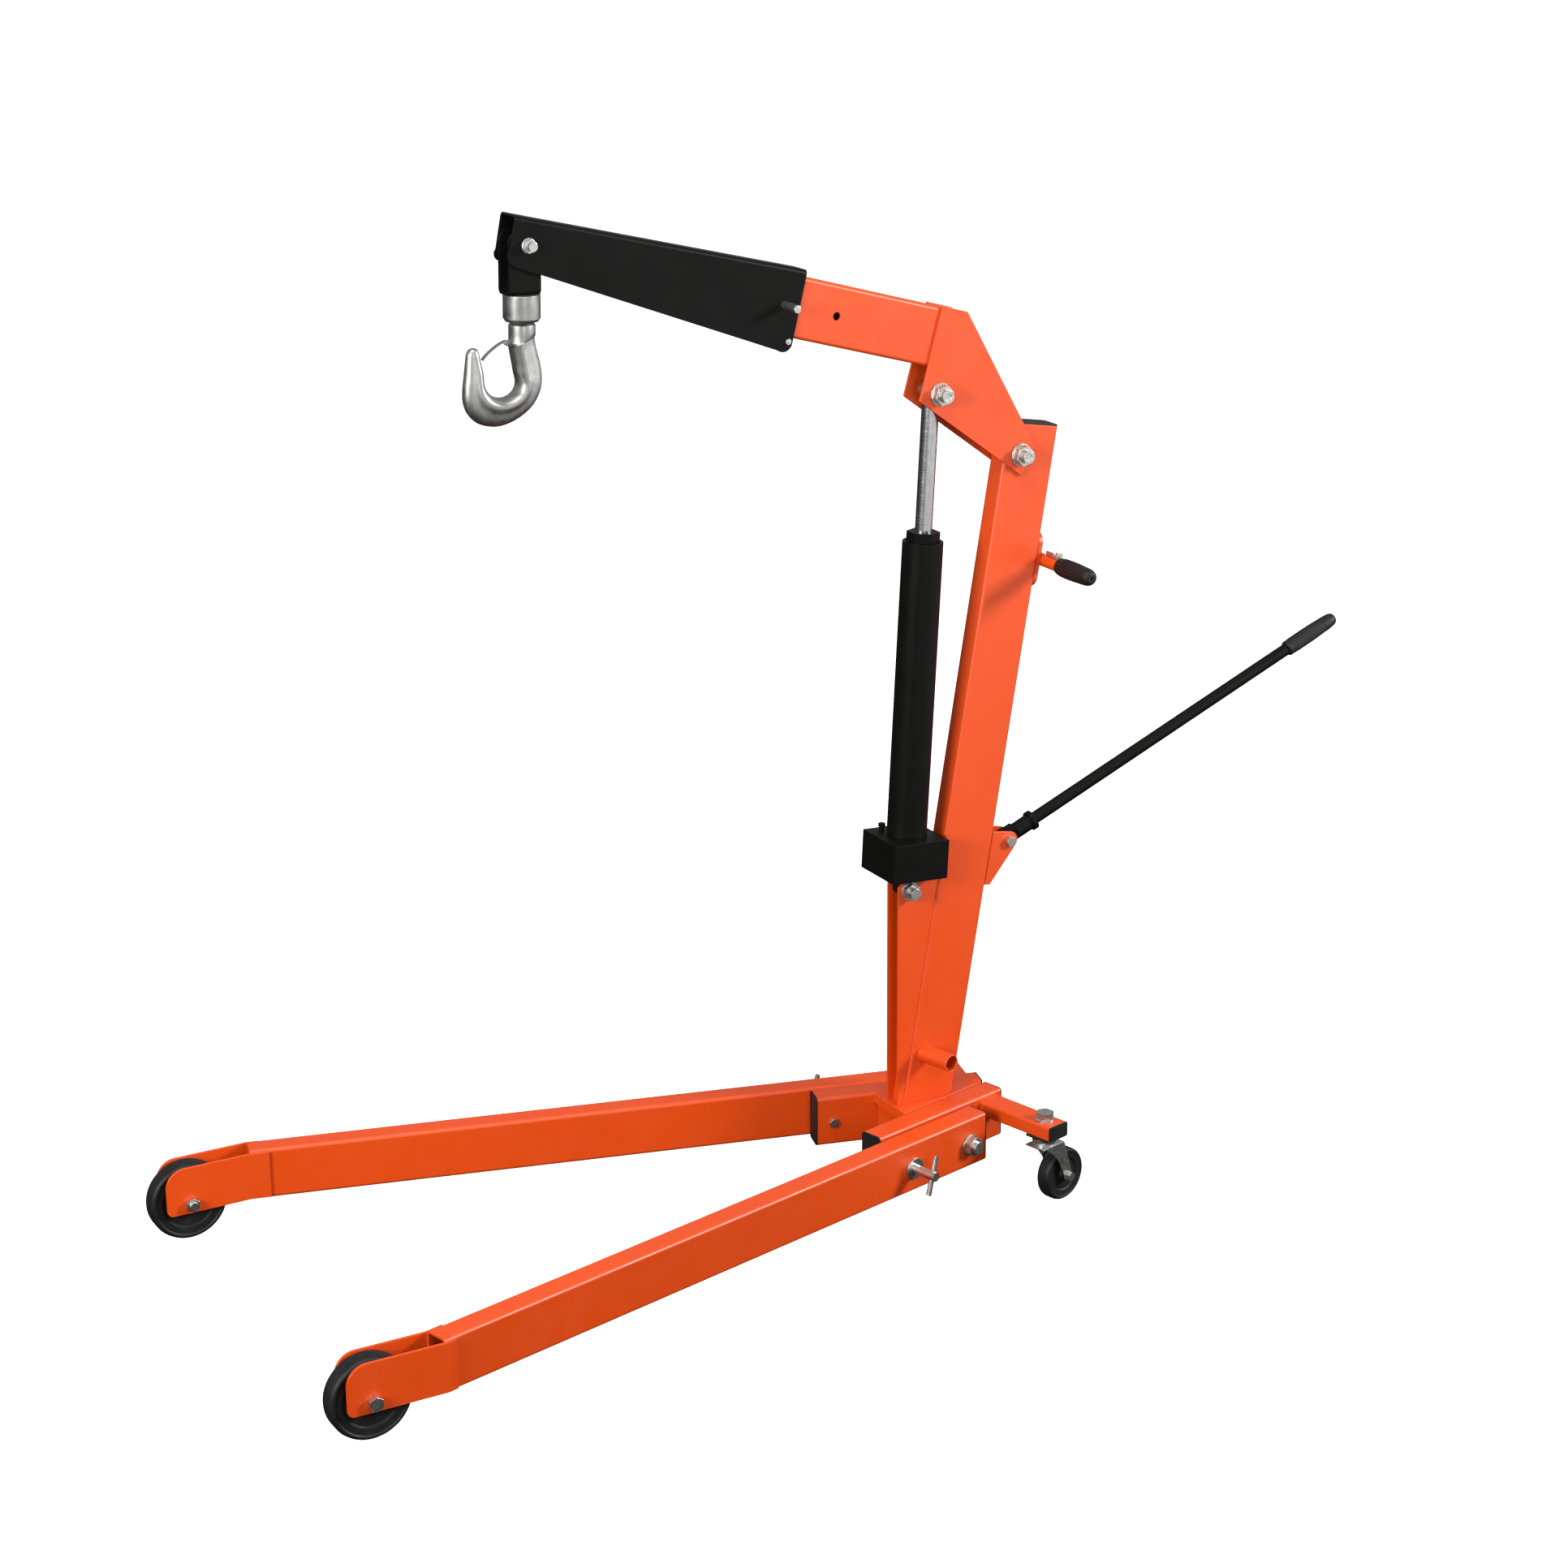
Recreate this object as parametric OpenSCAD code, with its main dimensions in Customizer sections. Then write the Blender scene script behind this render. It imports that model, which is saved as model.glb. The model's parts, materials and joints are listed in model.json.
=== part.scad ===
// Folding workshop crane: V base with two hinged legs, leaning mast, hydraulic ram,
// boom with a sliding extension, and a swivel hook. Millimetres, +Z up, hook side towards -Y.

/* [Tubes] */
// Height of the rectangular tube used for rails and legs
tube_h = 100; // [90:1:110]
// Width of the rectangular tube used for rails, legs and mast
tube_w = 48; // [44:1:52]
// Wall of the rectangular tubes
tube_wall = 4; // [3:0.5:5]
// Outer corner radius of the rectangular tubes
tube_corner = 7; // [5:0.5:9]

/* [Base] */
// Height of the top of the base rails over the chassis plane
base_top = 151; // [148:1:155]
// Angle between each leg and the centre line
splay = 14.5; // [13:0.5:16]
// Distance of the rails' rear corners behind the mast foot
apex_y = 189; // [185:1:193]
// Length of the base rails
rail_len = 331; // [325:1:345]
// Gap between a base rail and its leg
leg_gap = 8.5; // [7:0.5:10]
// Forward slope of the whole chassis over the floor
tilt = 1.24; // [0.8:0.01:1.5]

/* [Legs] */
// Distance of the leg's rear end from the rail's rear end
leg_start = 104; // [100:1:108]
// Length of the leg tube
leg_len = 1312; // [1250:1:1350]
// Distance of the leg pivot from the rail's rear end
pivot_s = 147; // [144:1:152]
// Distance between the leg pivot and the locking pin
pin_reach = 152; // [148:1:156]
// Radius of the leg locking pin
lock_pin_r = 9; // [8:0.5:10]
// Radius of the front wheels
wheel_r = 75; // [72:1:77]
// Width of the front wheels
wheel_w = 40; // [34:1:42]

/* [Casters] */
// Length of the outrigger arm that carries a caster
arm_len = 178; // [170:1:185]
// Radius of the caster wheel
caster_r = 52; // [48:1:54]
// Distance of the caster axle behind its swivel axis
caster_trail = 46; // [40:1:48]

/* [Mast] */
// Backward lean of the mast
lean = 9.6; // [8:0.1:11]
// Length of the mast tube
mast_len = 1325; // [1300:1:1350]
// Height of the boom pivot along the mast
boom_pivot_u = 1269; // [1255:1:1280]

/* [Boom] */
// Rise of the boom tube over the chassis plane
boom_rise = 15.9; // [14:0.1:18]
// Rise of the extension over the chassis plane
ext_rise = 14.2; // [13.8:0.1:14.6]
// Distance between two neighbouring holes of the boom
hole_pitch = 112; // [108:1:116]
// Radius of the adjusting pin
adjust_pin_r = 7; // [6:0.5:8]

/* [Ram] */
// Radius of the ram cylinder
ram_r = 38; // [34:1:40]
// Radius of the ram rod
ram_rod_r = 16; // [14:0.5:18]

/* [Hook] */
// Radius of the hook's bowl, measured to the middle of the bar
hook_bowl_r = 50.5; // [48:0.5:53]
// Radius of the hook's bar
hook_bar_r = 23.5; // [21:0.5:24]

/* [Hidden] */
$fn = 64;

orange = "#E5561F";
black = "#1C1C1B";
steel = "#AAABA5";

fit = 0.05;
eps = 0.01;
half_w = tube_w / 2;
front_y = -1099.5;

// Chassis plane and V base
reach = 1287;
axle_z = 73;
chassis_z = wheel_r - axle_z * cos(tilt);
apex_x = 2.3;
leg_in = tube_w + leg_gap;
leg_out = leg_in + tube_w;
pivot_z = 97;
pivot_r = 12;
tube_mid_z = base_top - tube_h / 2;
plate_t = 20;
plate_front = -24;
lock_s = pivot_s + pin_reach;
lock_end = leg_out + 57;
cap_t = 3;

// Front forks and wheels
fork_t = 6;
fork_low = 54.5;
fork_top = base_top - 5;
fork_front = -1334;
fork_overlap = 26;
fork_overlap_in = 38;
leg_end = leg_start + leg_len;
axle_r = 8;
fork_in_x = side_x(leg_in, leg_end);
fork_out_x = side_x(leg_out, leg_end);
wheel_x = (fork_in_x + fork_out_x) / 2;

// Outrigger arms and casters
arm_s = 8;
arm_w = 51;
arm_h = 30;
arm_top = base_top - 9.5;
swivel_w = 193;
swivel_s = arm_s + arm_w / 2;
swivel_r = 8;
caster_w = 30;
cheek_in = caster_w / 2 + 5;
cheek_out = cheek_in + 3;
caster_axle_r = 5;
caster_plate_z = arm_top - arm_h - 19;
caster_y = apex_y + swivel_w * sin(splay) + (caster_trail - swivel_s) * cos(splay);
caster_z = (caster_r - chassis_z - (caster_y + reach) * sin(tilt)) / cos(tilt);

// Mast tube, behind the plane of the ram plates' rear edge
mast_h = 109;
mast_front = -5;
mast_back = mast_front + mast_h;

// Ram feet and boom pivot, in the chassis plane
ram_foot_y = 8;
ram_foot_z = 586;
ram_foot_r = 11;
ram_plate_in = 16;
ram_plate_t = 5;
boom_pivot_v = 25;
boom_pivot_y = boom_pivot_v * cos(lean) + boom_pivot_u * sin(lean);
boom_pivot_z = base_top - boom_pivot_v * sin(lean) + boom_pivot_u * cos(lean);

// Boom, measured from its pivot along the boom
plate_in = half_w + 0.5;
side_t = 5.5;
plate_out = plate_in + side_t;
boom_h = 108;
boom_low = 121.5;
boom_mid = boom_low + boom_h / 2;
hole_u = 175;
boom_rear = 195;
boom_front = 825;
free_hole = 451;
pin_hole = free_hole + hole_pitch;
hole_r = adjust_pin_r + 0.5;
ram_head_v = -204.3;
ram_head_u = 78.4;
ram_head_y = boom_pivot_y + ram_head_v * cos(boom_rise) + ram_head_u * sin(boom_rise);
ram_head_z = boom_pivot_z - ram_head_v * sin(boom_rise) + ram_head_u * cos(boom_rise);
ram_lean = atan2(ram_head_y - ram_foot_y, ram_head_z - ram_foot_z);
ram_len = norm([ram_head_y - ram_foot_y, ram_head_z - ram_foot_z]);

// Extension channel, measured from its pin along the channel
channel_in = plate_in + 1;
channel_t = 3.5;
channel_out = channel_in + channel_t;
channel_top = 66.7;
channel_rear = 31.5;
channel_front = 540;
ext_y = boom_pivot_y - pin_hole * cos(boom_rise) + hole_u * sin(boom_rise);
ext_z = boom_pivot_z + pin_hole * sin(boom_rise) + hole_u * cos(boom_rise);
keeper_v = 22;
keeper_u = -61;
keeper_r = 3;
tip_v = -506.5;
tip_u = 22;
tip_r = 8;

// Ram, measured from its foot
block_low = 30;
valve_x = -43;
valve_y = -29;
block_high = 105.5;
cyl_top = 669;
gland_top = 687;

// Hook, measured from the extension's tip bolt
hook_start = 53.3;
hook_tip_lean = 3;
hook_centre_v = -hook_bowl_r * sin(hook_start);
hook_centre_u = -231;
hook_neck_z = hook_centre_u + hook_bowl_r * cos(hook_start);
latch_half = 7;
latch_v = -30;
latch_u = -166;
latch_reach = 43.5;

push_bar_r = 12;

// Pump lever, in the chassis plane
lever_rise = 23;
lever_y = 231;
lever_z = 646;
clevis_in = 16;
clevis_t = 5;
clevis_out = clevis_in + clevis_t;
lever_r = 12;
lever_drop = 2;

// ---- frames ----

function side_x(w, s) = apex_x + w * cos(splay) + s * sin(splay);
function side_y(w, s) = apex_y + w * sin(splay) - s * cos(splay);

module chassis() {
  translate([0, front_y, chassis_z]) rotate([tilt, 0, 0]) translate([0, reach, 0]) children();
}

// One side of the V base: x outwards from the rail's inner face, -y forwards from its rear end
module side(s) {
  chassis() mirror([s < 0 ? 1 : 0, 0, 0]) translate([apex_x, apex_y, 0]) rotate([0, 0, splay]) children();
}

// The fork's frame: square to the crane, on one side
module fork_side(s) {
  chassis() mirror([s < 0 ? 1 : 0, 0, 0]) children();
}

// y is the depth behind the mast's front face, z runs up the mast
module mast_frame() {
  chassis() translate([0, 0, base_top]) rotate([-lean, 0, 0]) children();
}

module boom_frame() {
  chassis() translate([0, boom_pivot_y, boom_pivot_z]) rotate([-boom_rise, 0, 0]) children();
}

module ext_frame() {
  chassis() translate([0, ext_y, ext_z]) rotate([-ext_rise, 0, 0]) children();
}

module ram_frame() {
  chassis() translate([0, ram_foot_y, ram_foot_z]) rotate([-ram_lean, 0, 0]) children();
}

// Upright frame at the extension's tip bolt
module hook_frame() {
  ext_frame() translate([0, tip_v, tip_u]) rotate([ext_rise - tilt, 0, 0]) children();
}

module lever_frame() {
  chassis() translate([0, lever_y, lever_z]) rotate([lever_rise, 0, 0]) children();
}

module caster_frame(s) {
  side(s) translate([swivel_w, -swivel_s, 0]) children();
}

// ---- shapes ----

module rounded(w, h, r) {
  square([w - 2 * r, h], center = true);
  square([w, h - 2 * r], center = true);
  for (sx = [-1, 1], sy = [-1, 1]) translate([sx * (w / 2 - r), sy * (h / 2 - r)]) circle(r);
}

// Rectangular tube along -y
module tube(w, h, length, wall = tube_wall, r = tube_corner) {
  rotate([90, 0, 0]) linear_extrude(length) difference() {
    rounded(w, h, r);
    rounded(w - 2 * wall, h - 2 * wall, max(r - wall, 1));
  }
}

// Plug that closes a rectangular tube: a lip and a shorter tongue inside, facing -y
module tube_cap(w, h, wall = tube_wall, r = tube_corner) {
  rotate([90, 0, 0]) {
    linear_extrude(cap_t) rounded(w, h, r);
    translate([0, 0, -12]) linear_extrude(12)
      rounded(w - 2 * wall - 0.4, h - 2 * wall - 0.4, max(r - wall, 1));
  }
}

// Cylinder along x from x0 to x1
module bar_x(r, x0, x1) {
  translate([x0, 0, 0]) rotate([0, 90, 0]) cylinder(r = r, h = x1 - x0);
}

// Hexagon along x from x0 to x1
module hex_x(af, x0, x1) {
  translate([x0, 0, 0]) rotate([0, 90, 0]) cylinder(r = af / sqrt(3), h = x1 - x0, $fn = 6);
}

module ring_x(r, hole, x0, x1) {
  difference() {
    bar_x(r, x0, x1);
    bar_x(hole, x0 - 1, x1 + 1);
  }
}

// Hexagon nut along x
module hex_nut(af, bolt_r, x0, height) {
  difference() {
    hex_x(af, x0, x0 + height);
    bar_x(bolt_r, x0 - 1, x0 + height + 1);
  }
}

// Bolt shaft along x with a shallow dimple in its far end
module bolt_x(r, x0, x1) {
  difference() {
    bar_x(r, x0, x1);
    bar_x(r * 0.5, x1 - 1.2, x1 + 1);
  }
}

// Folded sheet seen along y: a web on top, two sides, rounded outer corners
module fold_outline(half, t, r, depth) {
  difference() {
    union() {
      translate([0, -r - depth / 2]) square([2 * half, depth], center = true);
      translate([0, -r / 2]) square([2 * (half - r), r], center = true);
      for (s = [-1, 1]) translate([s * (half - r), -r]) circle(r);
    }
    translate([0, -r - depth / 2]) square([2 * (half - t), depth + 2], center = true);
    translate([0, -(r + t) / 2 - 0.5]) square([2 * (half - r), r - t + 1], center = true);
    for (s = [-1, 1]) translate([s * (half - r), -r]) circle(r - t);
  }
}

// Plate in the YZ plane between x0 and x1
module plate_yz(x0, x1) {
  translate([x0, 0, 0]) rotate([90, 0, 90]) linear_extrude(x1 - x0) children();
}

module for_sides() {
  for (s = [-1, 1]) mirror([s < 0 ? 1 : 0, 0, 0]) children();
}

// ---- base ----

module base_rails() {
  color(orange) for (s = [-1, 1]) side(s) difference() {
    translate([half_w, 0, tube_mid_z]) tube(tube_w, tube_h, rail_len);
    translate([0, -pivot_s, pivot_z]) bar_x(pivot_r + fit, -5, tube_w + 5);
    translate([0, -lock_s, pivot_z]) bar_x(lock_pin_r + fit, -5, tube_w + 5);
  }
}

// Half the gap between the rails at a depth y
function gap_x(y) = apex_x + (apex_y - y) * tan(splay);

module v_slab(y0, y1, z0, z1) {
  chassis() translate([0, 0, z0]) linear_extrude(z1 - z0)
    polygon([[-gap_x(y0), y0], [gap_x(y0), y0], [gap_x(y1), y1], [-gap_x(y1), y1]]);
}

module base_plate() {
  color(orange) v_slab(plate_front, apex_y - 6, base_top - plate_t, base_top);
}

module cross_panel() {
  color(orange) v_slab(-14, -6, base_top - tube_h, base_top - plate_t);
}

module end_caps() {
  color(black) for (s = [-1, 1]) side(s) {
    translate([half_w, -rail_len, tube_mid_z]) tube_cap(tube_w, tube_h);
    translate([half_w, 0, tube_mid_z]) rotate([0, 0, 180]) tube_cap(tube_w, tube_h);
    translate([tube_w + arm_len, -swivel_s, arm_top - arm_h / 2])
      rotate([0, 0, 90]) tube_cap(arm_w, arm_h, 3.5, 5);
  }
}

module outrigger_arms() {
  color(orange) for (s = [-1, 1]) side(s) difference() {
    translate([tube_w, -swivel_s, arm_top - arm_h / 2]) rotate([0, 0, 90])
      tube(arm_w, arm_h, arm_len, 3.5, 5);
    translate([swivel_w, -swivel_s, arm_top - arm_h - 1]) cylinder(r = swivel_r + fit, h = arm_h + 2);
  }
}

module stow_tubes() {
  color(orange) difference() {
    for (s = [-1, 1]) side(s) translate([0, -pivot_s, pivot_z + pin_reach]) ring_x(17, 14.5, -30, leg_in - 1);
    chassis() translate([-half_w, -200, 0]) cube([tube_w, 600, 600]);
  }
}

// ---- mast ----

module mast() {
  color(orange) difference() {
    mast_frame() difference() {
      translate([0, mast_front + mast_h / 2, mast_len]) rotate([90, 0, 0])
        tube(tube_w, mast_h, mast_len + 20);
      translate([0, boom_pivot_v, boom_pivot_u]) bar_x(pivot_r + fit, -30, 30);
    }
    chassis() translate([-100, -100, base_top - 100]) cube([200, 300, 100]);
  }
}

module mast_cap() {
  color(black) mast_frame() translate([0, mast_front + mast_h / 2, mast_len])
    rotate([-90, 0, 0]) tube_cap(tube_w, mast_h);
}

module ram_plates() {
  top = 602;
  front = mast_front / cos(lean);
  back = front + (top - base_top) * tan(lean);
  color(orange) chassis() difference() {
    for_sides() plate_yz(ram_plate_in, ram_plate_in + ram_plate_t)
      polygon([[-16, base_top], [front, base_top], [back, top], [-8, top], [-16, top - 8]]);
    translate([0, ram_foot_y, ram_foot_z]) bar_x(ram_foot_r + fit, -40, 40);
  }
}

module lever_bracket() {
  bolt_v = lever_y * cos(lean) - (lever_z - base_top) * sin(lean);
  bolt_u = lever_y * sin(lean) + (lever_z - base_top) * cos(lean);
  color(orange) mast_frame() difference() {
    for_sides() plate_yz(clevis_in, clevis_out) {
      polygon([
        [mast_back, 439], [116, 439], [bolt_v + 15.5, bolt_u - 9], [bolt_v, bolt_u + 18],
        [mast_back, bolt_u + 18]
      ]);
      translate([bolt_v, bolt_u]) circle(18);
    }
    translate([0, bolt_v, bolt_u]) bar_x(6 + fit, -30, 30);
  }
}

module handle_plate() {
  height = 103;
  width = 40;
  color(orange) mast_frame() translate([0, mast_back, 1071]) rotate([-90, 0, 0]) linear_extrude(10) {
    square([width, height - width], center = true);
    for (s = [-1, 1]) translate([0, s * (height - width) / 2]) circle(width / 2);
  }
}

module at_push_bar() {
  mast_frame() translate([0, mast_back + 10 + push_bar_r, 1071]) children();
}

module push_bar() {
  color(orange) at_push_bar() bar_x(push_bar_r, -165, 165);
}

module push_grips() {
  color(black) at_push_bar() for_sides() translate([68, 0, 0]) rotate([0, 90, 0]) rotate_extrude()
    polygon([
      [push_bar_r, 0], [15, 0], [17.5, 6], [18, 46], [16.5, 85], [13.5, 100], [9, 104], [0, 104],
      [0, 97.3], [push_bar_r, 97.3]
    ]);
}

module handle_clip() {
  color(steel) at_push_bar() translate([half_w + 2, 0, push_bar_r]) {
    translate([0, -7, 0]) cube([36, 14, 2.5]);
    translate([0, -7, 0]) cube([26, 2.5, 9]);
    translate([30, -7, 0]) cube([6, 14, 12]);
  }
}

module mast_bolts() {
  color(steel) {
    boom_frame() {
      bolt_x(pivot_r, -50, 60);
      hex_x(30, -50, -plate_out - 4);
    }
    chassis() translate([0, ram_foot_y, ram_foot_z]) {
      bar_x(ram_foot_r, -32, 46);
      hex_x(30, -32, -21.2);
    }
    lever_frame() {
      bar_x(6, -clevis_out - 8, clevis_out + 1);
      hex_x(19, clevis_out + 0.2, clevis_out + 10);
      mirror([1, 0, 0]) hex_nut(19, 5.9, clevis_out + 0.2, 7);
    }
  }
}

module leg_pivot_bolts() {
  color(steel) for (s = [-1, 1]) side(s) translate([0, -pivot_s, pivot_z]) {
    bar_x(pivot_r, -12, leg_out + 25);
    hex_x(30, -12, 0);
  }
}

module pivot_nuts() {
  color(steel) {
    for (s = [-1, 1]) side(s) translate([0, -pivot_s, pivot_z]) hex_nut(34, pivot_r, leg_out + 4, 13);
    boom_frame() hex_nut(34, pivot_r, plate_out + 4, 14);
    chassis() translate([0, ram_foot_y, ram_foot_z]) hex_nut(30, ram_foot_r, 23.5, 11);
  }
}

module pivot_washers() {
  color(steel) {
    for (s = [-1, 1]) side(s) translate([0, -pivot_s, pivot_z]) {
      ring_x(21, pivot_r + fit, tube_w, leg_in - 0.3);
      ring_x(21, pivot_r + fit, leg_out + 0.5, leg_out + 4);
    }
    for (x = [-plate_out - 4, plate_out + 0.5]) boom_frame() ring_x(21, pivot_r + fit, x, x + 3.5);
    chassis() translate([0, ram_foot_y, ram_foot_z]) ring_x(18.5, ram_foot_r + fit, 21, 23.5);
  }
}

module lock_pin_tips() {
  color(steel) for (s = [-1, 1]) side(s) translate([0, -lock_s, pivot_z]) bar_x(lock_pin_r, -5, tube_w);
}

// ---- legs ----

module leg(s) {
  color(orange) side(s) difference() {
    translate([leg_in + half_w, -leg_start, tube_mid_z - 1]) tube(tube_w, tube_h, leg_len);
    translate([0, -pivot_s, pivot_z]) bar_x(pivot_r + fit, leg_in - 5, leg_out + 5);
    translate([0, -lock_s, pivot_z]) bar_x(lock_pin_r + fit, leg_in - 5, leg_out + 5);
  }
}

// Side view of a fork cheek
module fork_outline() {
  big = 38;
  small = 12;
  difference() {
    union() {
      difference() {
        translate([fork_front, fork_low]) square([200, fork_top - fork_low]);
        translate([fork_front - 1, fork_top - big]) square([big + 1, big + 1]);
        translate([fork_front - 1, fork_low - 1]) square([small + 1, small + 1]);
      }
      translate([fork_front + big, fork_top - big]) circle(big);
      translate([fork_front + small, fork_low + small]) circle(small);
    }
    translate([-reach, axle_z]) circle(axle_r + fit);
  }
}

// Depth at which the leg's line w meets the fork's plane x
function bend_y(x, w) = side_y(w, (x - side_x(w, 0)) / sin(splay));

// Cheek seen from above: straight beside the wheel, bent along the leg
module fork_plan(x, w, overlap) {
  rear = leg_end - overlap;
  polygon([
    [x, fork_front - 1], [x + fork_t, fork_front - 1], [x + fork_t, bend_y(x + fork_t, w + fork_t)],
    [side_x(w + fork_t, rear), side_y(w + fork_t, rear)], [side_x(w, rear), side_y(w, rear)], [x, bend_y(x, w)]
  ]);
}

module fork_cheek(x, w, overlap, s) {
  fork_side(s) intersection() {
    linear_extrude(base_top) fork_plan(x, w, overlap);
    plate_yz(x - 50, x + 50) fork_outline();
  }
}

module leg_fork(s) {
  color(orange) {
    fork_cheek(fork_out_x, leg_out, fork_overlap, s);
    fork_cheek(fork_in_x - fork_t, leg_in - fork_t, fork_overlap_in, s);
  }
}

module leg_cap(s) {
  color(black) side(s) translate([leg_in + half_w, -leg_start, tube_mid_z - 1])
    rotate([0, 0, 180]) tube_cap(tube_w, tube_h);
}

module at_wheel(s) {
  fork_side(s) translate([0, -reach, axle_z]) children();
}

module axle_bolt(s) {
  color(steel) at_wheel(s) {
    bar_x(axle_r, fork_in_x - fork_t - 16, fork_out_x + fork_t + 2);
    hex_x(24, fork_out_x + fork_t + 0.3, fork_out_x + fork_t + 11);
    mirror([1, 0, 0]) hex_nut(24, axle_r - 0.1, fork_t + 0.5 - fork_in_x, 10);
  }
}

// Half section of a wheel: bore, hub, web, stepped ring, side face and rounded shoulder
function wheel_half(r, half, bore, hub, ring, step) = [
  [bore, half + 1.5], [hub - 2, half + 1.5], [hub, half - 0.5], [hub + 0.5, half - step], [ring - 2, half - step],
  [ring, half - step / 2], [r - step - 4, half - step / 2 + 1], [r - step - 2, half], [r - step, half],
  [r - step * 0.55, half - step * 0.3], [r - step * 0.2, half - step * 0.75], [r, half - step * 1.4]
];

module wheel(r, w, bore, hub, ring, step) {
  face = wheel_half(r, w / 2, bore, hub, ring, step);
  back = [for (i = [len(face) - 1:-1:0]) [face[i][0], -face[i][1]]];
  rotate([0, 90, 0]) rotate_extrude() polygon(concat(face, back));
}

module front_wheel(s) {
  color(black) at_wheel(s) translate([wheel_x, 0, 0]) wheel(wheel_r, wheel_w, axle_r + fit, 27, 52, 6.5);
}

module at_lock_pin(s) {
  side(s) translate([0, -lock_s, pivot_z]) children();
}

module lock_pin(s) {
  color(steel) at_lock_pin(s) {
    bar_x(lock_pin_r, leg_in - 1, lock_end);
    translate([lock_end - 10, 0, 0]) rotate([-15, 0, 0]) translate([0, 0, -38]) cylinder(r = 5, h = 76);
  }
}

module lock_washer(s) {
  color(steel) at_lock_pin(s) ring_x(21, lock_pin_r + fit, leg_out, leg_out + 4);
}

// ---- casters ----

module caster_bolts() {
  color(steel) for (s = [-1, 1]) caster_frame(s) {
    translate([0, 0, caster_plate_z - 8]) cylinder(r = swivel_r, h = arm_top - caster_plate_z + 12);
    translate([0, 0, arm_top + 3]) cylinder(r = 30 / sqrt(3), h = 13, $fn = 6);
    translate([0, 0, arm_top]) difference() {
      cylinder(r = 19, h = 3);
      translate([0, 0, -1]) cylinder(r = swivel_r, h = 5);
    }
    translate([0, 0, caster_plate_z - 12]) cylinder(r = 12, h = 8);
  }
}

module caster_pads() {
  color(black) for (s = [-1, 1]) caster_frame(s) difference() {
    translate([-26, -25, arm_top - arm_h - 4]) cube([52, 50, 4]);
    translate([0, 0, arm_top - arm_h - 5]) cylinder(r = swivel_r + fit, h = 6);
  }
}

module caster_cheek() {
  foot_z = caster_z - caster_plate_z;
  difference() {
    union() {
      polygon([
        [-16, 0], [-16, -5], [4, -20], [19, -40], [caster_trail - 11, foot_z], [caster_trail + 11, foot_z],
        [33, -3], [33, 0]
      ]);
      translate([caster_trail, foot_z]) circle(11);
    }
    translate([caster_trail, foot_z]) circle(caster_axle_r + fit);
  }
}

module caster_fork(s) {
  color(steel) caster_frame(s) {
    difference() {
      union() {
        translate([-cheek_out, -28, caster_plate_z - 3]) cube([2 * cheek_out, 61, 3]);
        translate([0, 0, caster_plate_z - eps]) cylinder(r1 = 20, r2 = 24, h = 8);
        translate([0, 0, caster_plate_z + 8 - 2 * eps]) cylinder(r = 24, h = 6);
      }
      translate([0, 0, caster_plate_z - 5]) cylinder(r = swivel_r + fit, h = 30);
    }
    for (x = [-cheek_out, cheek_in]) translate([0, 0, caster_plate_z]) plate_yz(x, x + 3) caster_cheek();
  }
}

module at_caster_axle(s) {
  caster_frame(s) translate([0, caster_trail, caster_z]) children();
}

module caster_wheel(s) {
  color(black) at_caster_axle(s) wheel(caster_r, caster_w, caster_axle_r + fit, 14, 33, 5);
}

module caster_axle(s) {
  color(steel) at_caster_axle(s) {
    bar_x(caster_axle_r, -cheek_out - 9, cheek_out + 2);
    hex_x(16, cheek_out + 0.2, cheek_out + 8);
    mirror([1, 0, 0]) hex_nut(16, caster_axle_r - 0.1, cheek_out + 0.2, 6);
  }
}

// ---- boom ----

module boom() {
  color(orange) boom_frame() difference() {
    translate([0, -boom_rear, boom_mid]) tube(2 * plate_in, boom_h, boom_front - boom_rear);
    for (i = [0:3]) translate([0, -free_hole - i * hole_pitch, hole_u]) bar_x(hole_r, -30, 30);
  }
}

module boom_plates() {
  color(orange) boom_frame() difference() {
    for_sides() plate_yz(plate_in, plate_out)
      polygon([[-242, 232.5], [-188, 232.5], [29, 19.5], [14.3, -38], [-242, 58]]);
    bar_x(pivot_r + fit, -40, 40);
    translate([0, ram_head_v, ram_head_u]) bar_x(pivot_r + fit, -40, 40);
  }
}

// Two ends of the ram's head bolt; the middle is left open for the linkage
module ram_head_bolt() {
  color(steel) boom_frame() translate([0, ram_head_v, ram_head_u]) {
    bolt_x(pivot_r, plate_in, plate_out + 30);
    ring_x(21, pivot_r, plate_out, plate_out + 4);
    hex_nut(34, pivot_r - 0.1, plate_out + 4, 14);
    bar_x(pivot_r, -plate_out - 3, -plate_in);
    hex_x(30, -plate_out - 15, -plate_out);
  }
}

// ---- extension ----

module extension_side() {
  r = 18;
  difference() {
    polygon([
      [channel_rear, -82.5], [channel_rear, channel_top], [-channel_front, channel_top], [-channel_front + 4, -14.5]
    ]);
    translate([channel_rear - r, -83.5]) square([r + 1, r + 1]);
    translate([-channel_front, -15.5]) square([16, 12]);
  }
  translate([channel_rear - r, -82.5 + r + 1.5]) circle(r);
  translate([-channel_front + 14, -2.5]) circle(12.5);
}

module extension() {
  color(black) ext_frame() difference() {
    intersection() {
      translate([0, channel_rear + 10, channel_top]) rotate([90, 0, 0]) linear_extrude(channel_front + 60)
        fold_outline(channel_out, channel_t, 8, 180);
      plate_yz(-channel_out - 5, channel_out + 5) extension_side();
    }
    bar_x(adjust_pin_r + fit, -40, 40);
    translate([0, tip_v, tip_u]) bar_x(tip_r + fit, -40, 40);
    translate([0, keeper_v, keeper_u]) bar_x(keeper_r + fit, -40, 40);
  }
}

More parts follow.
